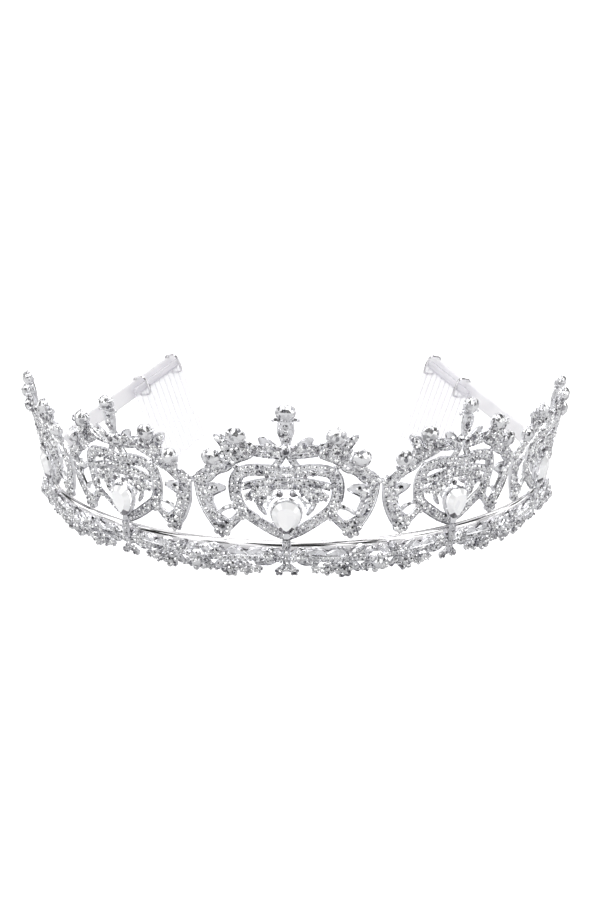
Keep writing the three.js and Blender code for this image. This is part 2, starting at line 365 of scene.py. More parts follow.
def foilFinish(name, light, dark, scale, dull):
    # silvered back of a stone, which varies from stone to stone and facet to facet; the dark foil made with
    # it is painted shade
    material, nodes, links, shader = newMaterial(name)
    shader.inputs["Metallic"].default_value = 1
    place = nodes.new("ShaderNodeTexCoord")
    cells = nodes.new("ShaderNodeTexVoronoi")
    cells.inputs["Scale"].default_value = scale
    links.new(place.outputs["Object"], cells.inputs["Vector"])
    ramp = nodes.new("ShaderNodeValToRGB")
    ramp.color_ramp.elements[0].position = 0.1
    ramp.color_ramp.elements[0].color = (*dark, 1)
    ramp.color_ramp.elements[1].position = 0.6
    ramp.color_ramp.elements[1].color = (*light, 1)
    links.new(cells.outputs["Color"], ramp.inputs["Fac"])
    links.new(ramp.outputs["Color"], shader.inputs["Base Color"])
    rough = nodes.new("ShaderNodeMapRange")
    rough.inputs["To Min"].default_value = 0.01
    rough.inputs["To Max"].default_value = dull
    links.new(cells.outputs["Distance"], rough.inputs["Value"])
    links.new(rough.outputs["Result"], shader.inputs["Roughness"])
    return material


def plasticFinish(name):
    # clear moulded plastic with flow clouds and a slightly worn skin
    material, nodes, links, shader = newMaterial(name)
    shader.inputs["Transmission Weight"].default_value = 0.15
    shader.inputs["IOR"].default_value = 1.3
    shader.inputs["Alpha"].default_value = 0.42
    place = nodes.new("ShaderNodeTexCoord")
    flow = nodes.new("ShaderNodeTexNoise")
    flow.inputs["Scale"].default_value = 120
    flow.inputs["Detail"].default_value = 5
    links.new(place.outputs["Object"], flow.inputs["Vector"])
    ramp = nodes.new("ShaderNodeValToRGB")
    ramp.color_ramp.elements[0].color = (0.93, 0.92, 0.96, 1)
    ramp.color_ramp.elements[1].color = (0.97, 0.96, 1, 1)
    links.new(flow.outputs["Fac"], ramp.inputs["Fac"])
    links.new(ramp.outputs["Color"], shader.inputs["Base Color"])
    rough = nodes.new("ShaderNodeMapRange")
    rough.inputs["To Min"].default_value = 0.06
    rough.inputs["To Max"].default_value = 0.26
    links.new(flow.outputs["Fac"], rough.inputs["Value"])
    links.new(rough.outputs["Result"], shader.inputs["Roughness"])
    bump = nodes.new("ShaderNodeBump")
    bump.inputs["Strength"].default_value = 0.12
    bump.inputs["Distance"].default_value = 0.0001
    links.new(flow.outputs["Fac"], bump.inputs["Height"])
    links.new(bump.outputs["Normal"], shader.inputs["Normal"])
    return material


castRhodium = metalFinish("castRhodium", (0.95, 0.95, 0.97), (0.5, 0.5, 0.52), 0.1, 0.3, 1.6, 0.2)
polishedRhodium = metalFinish("polishedRhodium", (0.93, 0.92, 0.93), (0.84, 0.83, 0.85),
                              0.06, 0.16, 0.6, 0.06)
satinRhodium = metalFinish("satinRhodium", (0.97, 0.96, 0.98), (0.9, 0.89, 0.92), 0.32, 0.5, 0.6, 0.05, 0.35)
brightWire = metalFinish("brightWire", (0.86, 0.85, 0.87), (0.6, 0.59, 0.61), 0.12, 0.3, 1.2, 0.12)
clearCrystal = crystalFinish("clearCrystal", (0.95, 0.95, 0.96), (0.16, 0.16, 0.18), 1150, 0.75)
pearCrystal = crystalFinish("pearCrystal", (1.0, 1.0, 1.0), (0.9, 0.9, 0.92), 420, 0.2)
# painted light: the large stone glows faintly of its own, standing in for light gathered inside it
pearPaintedGlow = pearCrystal.node_tree.nodes["Principled BSDF"]
pearPaintedGlow.inputs["Emission Color"].default_value = (1, 1, 1, 1)
pearPaintedGlow.inputs["Emission Strength"].default_value = 0.2
silverFoil = foilFinish("silverFoil", (1.0, 1.0, 1.0), (0.78, 0.78, 0.8), 800, 0.03)
# painted shade: a dark foil for the stones and pear facets that are painted dark where shade shows, not a
# real dark foil
paintedShadeFoil = foilFinish("paintedShadeFoil", (0.42, 0.41, 0.43), (0.1, 0.1, 0.11), 700, 0.2)
paveStone = foilFinish("paveStone", (1.0, 1.0, 1.0), (0.26, 0.26, 0.29), 950, 0.2)
combPlastic = plasticFinish("combPlastic")
print("finishes ready")

# ---- stones
stoneCut = {"table": 0.36, "tableHeight": 0.58, "girdle": 0.1, "depth": 0.72, "sides": 16}
pearCut = {"width": 6.9, "low": 3.0, "high": 12.2, "table": 0.34, "front": 3.7, "back": 1.5}


def ring(radius, height, sides, turn=0.0):
    bpy.ops.mesh.primitive_circle_add(vertices=sides, radius=radius, location=(0, -height, 0),
                                      rotation=(math.pi / 2, turn, 0))
    return settle(bpy.context.object)


def wrapHull(rings, name):
    # one closed cut stone round the given rings
    stone = joinAll(rings, name)
    pickOnly(stone)
    bpy.ops.object.mode_set(mode="EDIT")
    bpy.ops.mesh.select_all(action="SELECT")
    bpy.ops.mesh.convex_hull()
    bpy.ops.mesh.select_all(action="SELECT")
    bpy.ops.mesh.normals_make_consistent(inside=False)
    bpy.ops.object.mode_set(mode="OBJECT")
    bpy.ops.object.shade_flat()
    return stone


def twoTone(stone, front, back, girdle):
    # crown facets take the front finish and the pavilion the back one
    stone.data.materials.clear()
    stone.data.materials.append(front)
    stone.data.materials.append(back)
    for face in stone.data.polygons:
        face.material_index = 1 if -face.center.y < girdle else 0
    return stone


def makeRoundStone():
    cut = stoneCut
    sides = cut["sides"]
    step = math.pi / sides
    rings = [
        ring(cut["table"], cut["tableHeight"], sides // 2, step),
        ring(0.68, cut["tableHeight"] * 0.74, sides // 2, 0),
        ring(1, cut["girdle"], sides, step / 2),
        ring(1, 0, sides, step / 2),
        ring(0.55, -cut["depth"] * 0.5, sides // 2, 0),
        ring(0.05, -cut["depth"], 6, 0),
    ]
    stone = wrapHull(rings, "roundStone")
    return twoTone(stone, clearCrystal, silverFoil, 0.02)


def makePaveStone():
    rings = [ring(0.52, 0.42, 6, 0.3), ring(1, 0.05, 8, 0), ring(0.3, -0.45, 4, 0)]
    stone = wrapHull(rings, "paveStoneMaster")
    stone.data.materials.append(paveStone)
    return stone


def pearRing(grow, height):
    # a ring of points on a pear outline, pushed in or out by grow
    cut = pearCut
    radius = cut["width"] / 2
    middle = cut["high"] - radius
    bpy.ops.mesh.primitive_circle_add(vertices=16, radius=1, location=(0, 0, 0), rotation=(math.pi / 2, 0, 0))
    outline = settle(bpy.context.object)
    for i, vertex in enumerate(outline.data.vertices):
        angle = 2 * math.pi * i / 16
        rise = math.sin(angle)
        u = math.cos(angle) * (radius - grow)
        v = rise * (radius - grow)
        if rise < 0:
            # below its widest the outline runs in to the point
            fall = -rise
            u *= (1 - 0.42 * fall * fall)
            v = -fall * (middle - cut["low"] - grow * 1.3)
        vertex.co = (u, -height, middle + v)
    return outline


def makePearStone():
    cut = pearCut
    low, high = cut["back"], cut["front"]
    rings = [
        pearRing(cut["width"] / 2 * cut["table"], high),
        pearRing(cut["width"] * 0.13, low + (high - low) * 0.84),
        pearRing(0, low + (high - low) * 0.52),
        pearRing(0, low + (high - low) * 0.42),
        pearRing(cut["width"] / 2 * 0.55, low + 0.05),
    ]
    stone = wrapHull(rings, "pearStoneMaster")
    twoTone(stone, pearCrystal, silverFoil, low + (high - low) * 0.45)
    # painted shade: the facets towards the pear's point take the dark foil
    stone.data.materials.append(paintedShadeFoil)
    for face in stone.data.polygons:
        if face.center.z < cut["low"] + 1.7:
            face.material_index = 2
    return stone


roundMaster = makeRoundStone()
paveMaster = makePaveStone()
# painted shade: a copy of the small stone in the dark foil, for spots painted dark where shade lies
paintedShadeMaster = copyOf(paveMaster, "paintedShadeStoneMaster")
paintedShadeMaster.data.materials[0] = paintedShadeFoil
pearMaster = makePearStone()
print("stones cut")

# ---- one motif, drawn flat
motif = {
    "width": 45.4,
    "plate": 1.4,
    "upper": (11.2, 29.4),
    "lower": (17.3, 23.2),
    "stone": 2.25,
    "heart": [(0, 19.5), (3.2, 20.1), (7, 20.3), (10.4, 19.4), (12, 16.6), (12, 12.2),
              (10.6, 9), (7, 6), (3.2, 3.4), (0, 1.9)],
    "rail": [(0.6, 24.9), (4.6, 25.2), (8.6, 25.9), (11, 26.6)],
    "branch": [(8.2, 25.6), (13.4, 21.9), (17.8, 18.8), (22.2, 15.7)],
    "scroll": [(20.8, 16.4), (20, 11.4), (18.3, 6.9), (15.9, 2.6)],
    "arch": [(0, 17.3), (4.6, 17), (8, 16.2), (10.6, 15.4)],
    "lowArch": [(0, 15.9), (3.4, 15.7), (7.4, 14.4)],
    "strap": [(10.4, 8.4), (13, 5.4), (15.6, 2.6)],
}
paveSpots = []   # (u, v, depth, radius)
# painted shade: spots where a small stone is painted dark, (u, v, depth, radius)
paintedShadeSpots = []
beadSpots = []
metalParts = []


def paveStrap(line, width, rows, depth=0.0, thick=None, pitch=1.22, stone=0.56):
    # a channel with two raised rims, rows of small stones between them and beads between the stones
    thick = thick or motif["plate"]
    wide = width if callable(width) else (lambda t: width)
    metalParts.append(drawWire(line, lambda t: wide(t) / 2 - 0.12, depth + thick * 0.45, thick * 0.8, 1))
    for hand in (-1, 1):
        rim = sideways(line, lambda t: hand * (wide(t) / 2 - 0.17))
        metalParts.append(drawWire(rim, 0.19, depth + thick * 0.74, 0.62, 0))
    for row in range(rows):
        lane = (row - (rows - 1) / 2)
        track = sideways(line, lambda t: lane * (wide(t) - 0.75) / rows)
        spots = alongLine(track, pitch)
        for u, v, t in spots:
            room = min(stone, (wide(t) - 0.7) / rows / 2 * 0.98)
            paveSpots.append((u, v, depth + thick * 0.86, room))
    if rows == 2:
        for u, v, t in alongLine(line, pitch / 2):
            beadSpots.append((u, v, depth + thick * 0.95, 0.15))
    else:
        for hand in (-1, 1):
            for u, v, t in alongLine(sideways(line, lambda t: hand * (wide(t) / 2 - 0.42)), pitch):
                beadSpots.append((u, v, depth + thick * 0.95, 0.13))


def leafShape(root, tip, width, depth=0.0, stones=3, hook=0.0, thick=1.2):
    # a pointed leaf with a raised midrib, and stones that grow towards its belly
    mid = ((root[0] + tip[0]) / 2 - (tip[1] - root[1]) * hook,
           (root[1] + tip[1]) / 2 + (tip[0] - root[0]) * hook)
    line = smoothLine([root, mid, tip], 10)
    belly = lambda t: width / 2 * (0.1 + 0.95 * math.sin(math.pi * min(t * 0.92 + 0.06, 1)) ** 0.8)
    metalParts.append(drawWire(line, belly, depth + thick * 0.5, thick * 0.85, 0))
    for hand in (-1, 1):
        metalParts.append(drawWire(sideways(line, lambda t: hand * belly(t) * 0.82), 0.15,
                                   depth + thick * 0.72, 0.5, 0))
    for u, v, t in alongLine(line, 1.15)[:stones + 1]:
        paveSpots.append((u, v, depth + thick * 0.84, max(belly(t) * 0.55, 0.28)))


def clawSeat(u, v, radius, depth, claws=6, turn=0.0):
    # an open cup with a rim and claws that reach over the stone's edge
    metalParts.append(drawDisc(u, v, depth + 0.5, radius * 0.8, 1.0, 16))
    bpy.ops.mesh.primitive_torus_add(major_radius=radius * 0.97, minor_radius=0.2,
                                     major_segments=24, minor_segments=6,
                                     location=(u, -depth - 1.15, v), rotation=(math.pi / 2, 0, 0))
    metalParts.append(settle(bpy.context.object))
    for i in range(claws):
        angle = turn + 2 * math.pi * i / claws
        bpy.ops.mesh.primitive_cone_add(vertices=6, radius1=0.26, radius2=0.17, depth=1.4)
        claw = bpy.context.object
        claw.rotation_euler = (math.pi / 2, 0, 0)
        settle(claw)
        for vertex in claw.data.vertices:
            if vertex.co.y < 0:
                vertex.co.x -= 0.24
        claw.rotation_euler = (0, -angle, 0)
        reach = radius + 0.02
        claw.location = (u + math.cos(angle) * reach, -depth - 1.35, v + math.sin(angle) * reach)
        metalParts.append(settle(claw))
        beadSpots.append((u + math.cos(angle) * (radius - 0.18), v + math.sin(angle) * (radius - 0.18),
                          depth + 2.05, 0.22))


def drawLoop(side):
    # thin oval loop between the heart's lower corner and the side scroll
    loop = []
    for i in range(25):
        a = 2 * math.pi * i / 24
        along, across = 3.1 * math.cos(a), 1.75 * math.sin(a)
        tilt = 32 * degree
        loop.append((side * (14.2 - along * math.cos(tilt) - across * math.sin(tilt)),
                     7.4 + along * math.sin(tilt) - across * math.cos(tilt)))
    metalParts.append(drawWire(loop, 0.62, 0.8, 1.1, 1))


def smallFlower(u, v, depth, radius, petals=5, turn=0.0):
    metalParts.append(drawDisc(u, v, depth + 0.5, radius * 0.8, 0.9, 14))
    paveSpots.append((u, v, depth + 1.1, radius * 0.4))
    for i in range(petals):
        angle = turn + 2 * math.pi * i / petals
        du, dv = math.cos(angle) * radius * 0.68, math.sin(angle) * radius * 0.68
        metalParts.append(drawBall(u + du, v + dv, depth + 0.5, radius * 0.34, 1))
        paveSpots.append((u + du, v + dv, depth + 1.0, radius * 0.33))


def finishMetal(name):
    # joins what has been drawn, adds the beads, and merges it all into one piece
    global metalParts, beadSpots
    beads = []
    master = drawBall(0, 0, 0, 1, 1)
    for u, v, depth, radius in beadSpots:
        bead = copyOf(master)
        bead.scale = (radius, radius, radius)
        bead.location = (u, -depth, v)
        beads.append(bead)
    bpy.data.objects.remove(master)
    piece = joinAll(metalParts + beads, name)
    cleanUp(piece, 0.002)
    smoothBy(piece, 38)
    metalParts, beadSpots = [], []
    return piece


def finishPave(name):
    global paveSpots, paintedShadeSpots
    stones = []
    for spot in paveSpots + paintedShadeSpots:
        u, v, depth, radius = spot
        # spots of painted shade take the dark stone
        stone = copyOf(paintedShadeMaster if spot in paintedShadeSpots else paveMaster)
        stone.scale = (radius, radius * 1.05, radius)
        stone.location = (u, -depth, v)
        stone.rotation_euler = (chance.uniform(-0.22, 0.22), chance.uniform(0, 3),
                                chance.uniform(-0.22, 0.22))
        stones.append(stone)
    piece = joinAll(stones, name)
    paveSpots, paintedShadeSpots = [], []
    return piece


# The motif's casting
for side in (1, -1):
    paveStrap(smoothLine(flip(motif["heart"], side), 44), lambda t: 3.5 - 0.5 * t, 2)
    rail = smoothLine(flip(motif["rail"], side), 14)
    paveStrap(sideways(rail, side * 0.95), 1.7, 1)
    paveStrap(sideways(rail, side * -0.9), 1.7, 1)
    paveStrap(smoothLine(flip(motif["branch"], side), 20), lambda t: 3.5 + 0.5 * math.sin(6 * math.pi * t), 2)
    paveStrap(smoothLine(flip(motif["scroll"], side), 24), lambda t: 3.4 + 0.8 * math.sin(math.pi * t), 2)
    paveStrap(smoothLine(flip(motif["strap"], side), 10), 2.3, 1, pitch=1.35, stone=0.7)
    paveStrap(smoothLine(flip(motif["arch"], side), 14), 2.3, 1, 0.2, 1.1, 1.3, 0.78)
    paveStrap(smoothLine(flip(motif["lowArch"], side), 8), 1.9, 1, 0.3, 1.1, 1.1, 0.66)
    paveStrap([(side * 0.7, 24.4), (side * 1.5, 22.8), (side * 2.7, 20.9)], 1.9, 1)
    paveStrap([(side * 15.4, 20.4), (side * 16.2, 21.4), (side * 16.9, 22.6)], 1.9, 1)
    leafShape((side * 1.4, 23.6), (side * 5.9, 29), 3.2, 0.1, 3)
    leafShape((side * 4.4, 24.6), (side * 9.2, 27.6), 1.7, 0.3, 2)
    leafShape((side * 20.6, 10.2), (side * 14.4, 14.8), 3.7, 0.1, 4, side * -0.2)
    leafShape((side * 12.6, 23.4), (side * 16.2, 29.4), 3.1, 0.1, 4, side * 0.1)
    smallFlower(side * 13.4, 24.9, 0.3, 1.9, 6, 0.3)
    smallFlower(side * 10.9, 25.7, 0.5, 1.7, 5, 0.9)
    smallFlower(side * 17.6, 20.2, 0.3, 1.6, 5, 0.4)
    smallFlower(side * 20.6, 17.3, 0.3, 1.5, 5, 0.8)
    metalParts.append(drawBall(side * 15.5, 28.3, 0.7, 0.8, 2))
    paveSpots.append((side * 15.5, 28.3, 1.5, 0.75))
    leafShape((side * 21, 14.4), (side * 17.8, 11.2), 2.4, 0.4, 3)
    leafShape((side * 17.6, 7.2), (side * 13.6, 4.2), 2.2, 0.4, 2)
    leafShape((side * 10.2, 19.8), (side * 13.9, 22.2), 1.5, 0.1, 2)
    drawLoop(side)
    # flowers between the heart and the pear
    smallFlower(side * 6.1, 12.3, 0.2, 1.9, 6, 0.6)
    smallFlower(side * 8.9, 12.7, 0.2, 1.4, 5, 0.2)
    smallFlower(side * 4.2, 14.2, 0.3, 1.4, 5, 0.4)
    smallFlower(side * 7.4, 14.5, 0.4, 1.3, 5, 0.9)
    leafShape((side * 7, 11), (side * 4.9, 7.6), 1.3, 0.1, 1)
    smallFlower(side * 16, 3.4, 0.5, 2.6, 7, 0.1)
    smallFlower(side * 14.3, 4.9, 0.6, 1.5, 5, 0.4)
    smallFlower(side * 18.2, 7.4, 0.6, 1.5, 5, 0.2)
    smallFlower(side * 12.1, 10.2, 0.5, 1.4, 5, 0.7)
    smallFlower(side * 10.6, 7.9, 0.5, 1.9, 6, 0.5)
    for u, v in (motif["upper"], motif["lower"]):
        clawSeat(side * u, v, motif["stone"], 0.2, 6, 0.3 * side)
    metalParts.append(drawBall(side * 1.5, 14.0, 1.0, 0.8, 2))
    # painted shade: this ball's stone and the small stones below are painted dark
    paintedShadeSpots.append((side * 1.5, 14.0, 2.0, 0.8))
    for u, v in ((1.7, 26.4), (7, 25.6), (9.8, 26.9), (9, 25.1), (11.6, 25.2), (6.2, 19.4), (4.4, 18.9)):
        paintedShadeSpots.append((side * u, v, 1.9, 0.55))
    turns = [i * 11 * degree for i in range(1, 8)]
    collar = [(side * 4.7 * math.cos(turn), 9 + 4.9 * math.sin(turn)) for turn in turns]
    metalParts.append(drawWire(collar, 0.4, 0.9, 0.9, 1))
    for u, v in collar[::2]:
        beadSpots.append((u, v, 1.5, 0.42))

metalParts.append(drawBall(0, 25.9, 0.9, 1.7, 2))
for side in (1, -1):
    smallFlower(side * 2.6, 26.2, 0.4, 1.2, 5, 0.5)
    smallFlower(side * 8.6, 24.6, 0.4, 1.4, 5, 0.2)
for side in (1, -1):
    metalParts.append(drawBall(side * 1.5, 25.3, 0.8, 1.05, 2))
    paveSpots.append((side * 1.5, 25.3, 1.9, 0.6))
# painted shade: the stone on the middle ball is painted dark
paintedShadeSpots.append((0, 25.9, 2.5, 0.85))
# the pear's cup: a plate, a rim and four claws
cup = [(math.cos(a), math.sin(a)) for a in [2 * math.pi * i / 28 for i in range(29)]]
rim = []
for c, s in cup:
    u = c * 3.7
    v = s * 3.7
    if s < 0:
        u *= 1 - 0.42 * s * s
        v = s * 5.9
    rim.append((u, 8.8 + v))
metalParts.append(drawWire(rim, 0.26, 1.5, 1.0, 1))
metalParts.append(drawWire([(u * 0.8, 8.9 + (v - 8.95) * 0.85) for u, v in rim], 0.7, 0.8, 0.9, 1))
for u, v in ((2.8, 11.4), (-2.8, 11.4), (3.1, 6.5), (-3.1, 6.5)):
    metalParts.append(drawBall(u, v, 2.4, 0.38, 2))
metalParts.append(drawWire([(0, 4.3), (0, 3.8), (0, 3.2), (0, 2.6), (0, 2)],
                           lambda t: 0.5 + 0.5 * t, 2.3, 1.5, 2))
metalParts.append(drawWire(smoothLine([(0, 0.6), (0, 2.2), (0, 3.4)], 6), 0.62, 0.8, 1.3, 1))
motifMetal = finishMetal("motifMetalMaster")
motifPave = finishPave("motifPaveMaster")
print("motif drawn", len(motifMetal.data.polygons), len(motifPave.data.polygons))

# ---- finial
finial = {"foot": 27.2, "stoneAt": 35.9, "stone": 2.15}
metalParts.append(drawWire([(0, finial["foot"] + 0.28 * i) for i in range(27)],
                           lambda t: 1.1 + 0.8 * math.sin(math.pi * (0.1 + 0.62 * t)) ** 2, 0.9, 1.7, 2))
for side in (1, -1):
    arm = smoothLine([(0, 33.3), (side * 1.3, 33.9), (side * 2.75, 33.9)], 6)
    metalParts.append(drawWire(arm, 0.42, 1.2, 0.9, 1))
    flank = smoothLine([(side * 0.5, 28), (side * 1.7, 30.6), (side * 1.5, 33)], 8)
    metalParts.append(drawWire(flank, 0.3, 1.3, 0.8, 1))
    metalParts.append(drawBall(side * 2.75, 33.9, 1.3, 0.5, 2))
clawSeat(0, finial["stoneAt"], finial["stone"], 0.2, 6, 0.5)
for v, size in ((28.2, 0.5), (29.4, 0.58), (30.7, 0.66), (32.2, 0.72)):
    paveSpots.append((0, v, 1.8, size))
# painted shade: two stones of the finial's stem are painted dark
paintedShadeSpots.append((0.5, 28.9, 2, 0.45))
paintedShadeSpots.append((-0.6, 30, 2, 0.45))
for side in (1, -1):
    for v in (28.8, 30.1, 31.5, 32.8):
        beadSpots.append((side * (0.6 + (v - 28) * 0.12), v, 1.6, 0.3))
finialMetal = finishMetal("finialMetalMaster")
finialPave = finishPave("finialPaveMaster")
print("finial drawn")

# ---- swag
swag = {"back": 1.7}
vine = [(21.2, -5), (18.6, -4.2), (15.8, -4.5), (12.4, -4.1), (8.6, -3.9), (4.6, -3.6), (1, -4.2)]
for side in (1, -1):
    paveStrap(smoothLine(flip(vine, side), 26), 1.9, 1, swag["back"], 1.4)
    for root, tip, width, stones in (
            ((0.9, -3.8), (4.4, -1.0), 2.2, 1), ((0.4, -5.6), (1.9, -7.7), 1.5, 1),
            ((2.2, -3.4), (8.4, -2.1), 2.6, 0), ((10.4, -4), (6.2, -1.2), 2.6, 0),
            ((9.6, -3.6), (14.6, -2.2), 2.8, 0), ((16.4, -4.4), (19.2, -0.6), 2.4, 1),
            ((15.2, -3.8), (12.2, -0.9), 2.2, 0), ((19, -3.6), (22, -1.6), 2.4, 0),
            ((15.6, -5), (18.6, -8.1), 2.3, 3), ((17.6, -4.6), (21, -4.0), 2.0, 0),
            ((5.4, -4.2), (8, -5.4), 1.6, 0)):
        leafShape((side * root[0], root[1]), (side * tip[0], tip[1]), width, swag["back"], stones)
    smallFlower(side * 14.3, -7.4, swag["back"] + 0.3, 2.4, 6, 0.2)
    smallFlower(side * 10.1, -6.9, swag["back"] + 0.3, 2.0, 6, 0.5)
    smallFlower(side * 7.2, -7, swag["back"] + 0.2, 1.3, 5, 0.1)
    # painted shade: three small stones of the swag are painted dark
    for u, v in ((14.3, -6.2), (15.6, -8), (1.9, -7.7)):
        paintedShadeSpots.append((side * u, v, swag["back"] + 1.5, 0.5))
    smallFlower(side * 20, -7.1, swag["back"], 1.5, 5, 0.1)
    leafShape((side * 2.6, -4.4), (side * 6.8, -5.4), 2.3, swag["back"], 2)
    leafShape((side * 11.4, -4.6), (side * 13, -8), 1.8, swag["back"], 2)
    smallFlower(side * 1.9, -7.7, swag["back"], 1.25, 5, 0.3)
    smallFlower(side * 17.6, -2.6, swag["back"] + 0.3, 1.6, 5, 0.3)
    smallFlower(side * 4.4, -2.6, swag["back"] + 0.3, 1.4, 5, 0.7)
stem = smoothLine([(0, 1.4), (0, -3), (0, -7.6)], 12)
paveStrap(stem, lambda t: 2.1 - 0.3 * t, 1, swag["back"], 1.4, 1.3, 0.7)
swagMetal = finishMetal("swagMetalMaster")
swagPave = finishPave("swagPaveMaster")
print("swag drawn", len(swagMetal.data.polygons), len(swagPave.data.polygons))

# ---- the five motifs round the crown
sizes = {"inner": 0.955, "outer": 0.918}
innerCentre = motif["width"] * (1 + sizes["inner"]) / 2
outerCentre = motif["width"] * (1 + 2 * sizes["inner"] + sizes["outer"]) / 2
motifPlaces = [
    ("left_outer", -outerCentre, sizes["outer"]),
    ("left_inner", -innerCentre, sizes["inner"]),
    ("middle", 0, 1),
    ("right_inner", innerCentre, sizes["inner"]),
    ("right_outer", outerCentre, sizes["outer"]),
]


def setOnCrown(master, name, centre, size, finish, replaced=()):
    piece = copyOf(master, name)
    bendOnto(piece, centre, size)
    if finish:
        piece.data.materials.clear()
        piece.data.materials.append(finish)
    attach(piece, "crown")
    if replaced:
        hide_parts(*replaced)
    return piece


def roundStoneAt(name, u, v, depth, radius, node, centre, size):
    stone = copyOf(roundMaster, name)
    stone.scale = (radius, radius, radius)
    stone.rotation_euler = (chance.uniform(-0.05, 0.05), chance.uniform(0, 1), chance.uniform(-0.05, 0.05))
    stone.location = (u, -depth, v)
    settle(stone)
    bendOnto(stone, centre, size)
    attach(stone, "crown")
    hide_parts(node)


for label, centre, size in motifPlaces:
    setOnCrown(motifMetal, label + "_motif_metal", centre, size, castRhodium,
               [label + "_motif_casting"])
    setOnCrown(motifPave, label + "_motif_pave", centre, size, None)
    setOnCrown(finialMetal, label + "_finial_metal", centre, size, castRhodium,
               [label + "_finial_casting"])
    setOnCrown(finialPave, label + "_finial_pave", centre, size, None)
    setOnCrown(swagMetal, label + "_swag_metal", centre, size, castRhodium,
               [label + "_swag_casting"])
    setOnCrown(swagPave, label + "_swag_pave", centre, size, None)
    setOnCrown(pearMaster, label + "_pear_crystal", centre, size, None, [label + "_pear_stone"])
    roundStoneAt(label + "_finial_crystal", 0, finial["stoneAt"], 1.75, finial["stone"],
                 label + "_finial_stone", centre, size)
    for hand, side in (("left", -1), ("right", 1)):
        u, v = motif["upper"]
        roundStoneAt(f"{label}_upper_crystal_{hand}", side * u, v, 1.75, motif["stone"],
                     f"{label}_upper_stone_{hand}", centre, size)
        u, v = motif["lower"]
        roundStoneAt(f"{label}_lower_crystal_{hand}", side * u, v, 1.75, motif["stone"],
                     f"{label}_lower_stone_{hand}", centre, size)
print("motifs set round the crown")

# ---- flower over each place where two swags meet
joints = {
    "stone": 1.35,
    "petal": 0.78,
    "ringRadius": 2.05,
    "v": -5.7,
    "depth": 3.3,
    "places": [motif["width"] / 2, innerCentre + motif["width"] * sizes["inner"] / 2,
               outerCentre + motif["width"] * sizes["outer"] / 2 - 2.3],
}
for hand, side in (("left", -1), ("right", 1)):
    for number, place in enumerate(joints["places"], 1):
        parts = []
        for i in range(6):
            angle = 2 * math.pi * i / 6 + 0.3
            du, dv = joints["ringRadius"] * math.cos(angle), joints["ringRadius"] * math.sin(angle)
            petal = copyOf(paveMaster)
            petal.scale = (joints["petal"],) * 3
            petal.rotation_euler = (chance.uniform(-0.2, 0.2), angle, chance.uniform(-0.2, 0.2))
            petal.location = (du, -joints["depth"] - 0.35, joints["v"] + dv)
            parts.append(petal)
        heartStone = copyOf(roundMaster)
        heartStone.scale = (joints["stone"],) * 3
        heartStone.location = (0, -joints["depth"] - 0.75, joints["v"])
        parts.append(heartStone)
        flowerStones = joinAll(parts, f"swag_flower_stones_{hand}_{number}")
        bendOnto(flowerStones, side * place, 1)
        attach(flowerStones, "crown")
        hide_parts(f"swag_stone_{hand}_{number}")
        metalParts.append(drawDisc(0, joints["v"], joints["depth"] - 0.05, 2.1, 0.5, 20))
        for i in range(6):
            angle = 2 * math.pi * i / 6 + 0.3
            du, dv = joints["ringRadius"] * math.cos(angle), joints["ringRadius"] * math.sin(angle)
            metalParts.append(drawDisc(du, joints["v"] + dv, joints["depth"] + 0.1, 0.85, 0.6, 12))
            turn = angle + math.pi / 6
            beadSpots.append((1.45 * math.cos(turn), joints["v"] + 1.45 * math.sin(turn),
                              joints["depth"] + 0.75, 0.24))
        flowerSeat = finishMetal(f"swag_flower_seat_{hand}_{number}")
        bendOnto(flowerSeat, side * place, 1)
        flowerSeat.data.materials.append(castRhodium)
        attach(flowerSeat, "crown")
print("swag flowers set")

# ---- band: a half-round spring strip with rounded ends
band = {
    "height": 4, "tailHeight": 5.6, "flare": (112, 150), "thick": 1, "steps": 150,
    "bevel": 0.25, "dome": 0.8, "corner": 1.7, "satinFrom": 104,
}
bpy.ops.mesh.primitive_cube_add(size=1)
strip = bpy.context.object
strip.scale = (2 * halfLength, band["thick"], band["height"])
strip.location = (0, -band["thick"] / 2, -band["height"] / 2)
settle(strip)
# cross cuts, so that the strip can follow the crown and its ends can be rounded
cuts = [halfLength * (2 * i / band["steps"] - 1) for i in range(1, band["steps"])]
cuts += [side * (halfLength - inset) for side in (-1, 1) for inset in (0.1, 0.35, 0.75, 1.2, 1.7)]
shares = (-0.97, -0.88, -0.7, -0.45, -0.15, 0.15, 0.45, 0.7, 0.88, 0.97)
levels = [band["height"] / 2 * (1 + share) for share in shares]
pickOnly(strip)
bpy.ops.object.mode_set(mode="EDIT")
for at in cuts:
    bpy.ops.mesh.select_all(action="SELECT")
    bpy.ops.mesh.bisect(plane_co=(at, 0, 0), plane_no=(1, 0, 0))
for level in levels:
    bpy.ops.mesh.select_all(action="SELECT")
    bpy.ops.mesh.bisect(plane_co=(0, 0, -level), plane_no=(0, 0, 1))
bpy.ops.object.mode_set(mode="OBJECT")
cleanUp(strip, 0.001)
for vertex in strip.data.vertices:
    # domed front, softened edges, a wider tail and round corners
    across = (vertex.co.z + band["height"] / 2) / (band["height"] / 2)
    soft = band["bevel"] * max((abs(across) - 0.86) / 0.14, 0) ** 2
    if vertex.co.y < -band["thick"] / 2:
        vertex.co.y += soft - band["dome"] * (1 - across * across)
    else:
        vertex.co.y -= soft
    start, end = band["flare"]
    t = min(max((abs(vertex.co.x) - start) / (end - start), 0), 1)
    half = (band["height"] + (band["tailHeight"] - band["height"]) * t * t * (3 - 2 * t)) / 2
    short = max(band["corner"] - (halfLength - abs(vertex.co.x)), 0)
    half -= band["corner"] - math.sqrt(max(band["corner"] ** 2 - short ** 2, 0))
    vertex.co.z = -band["height"] / 2 + across * half
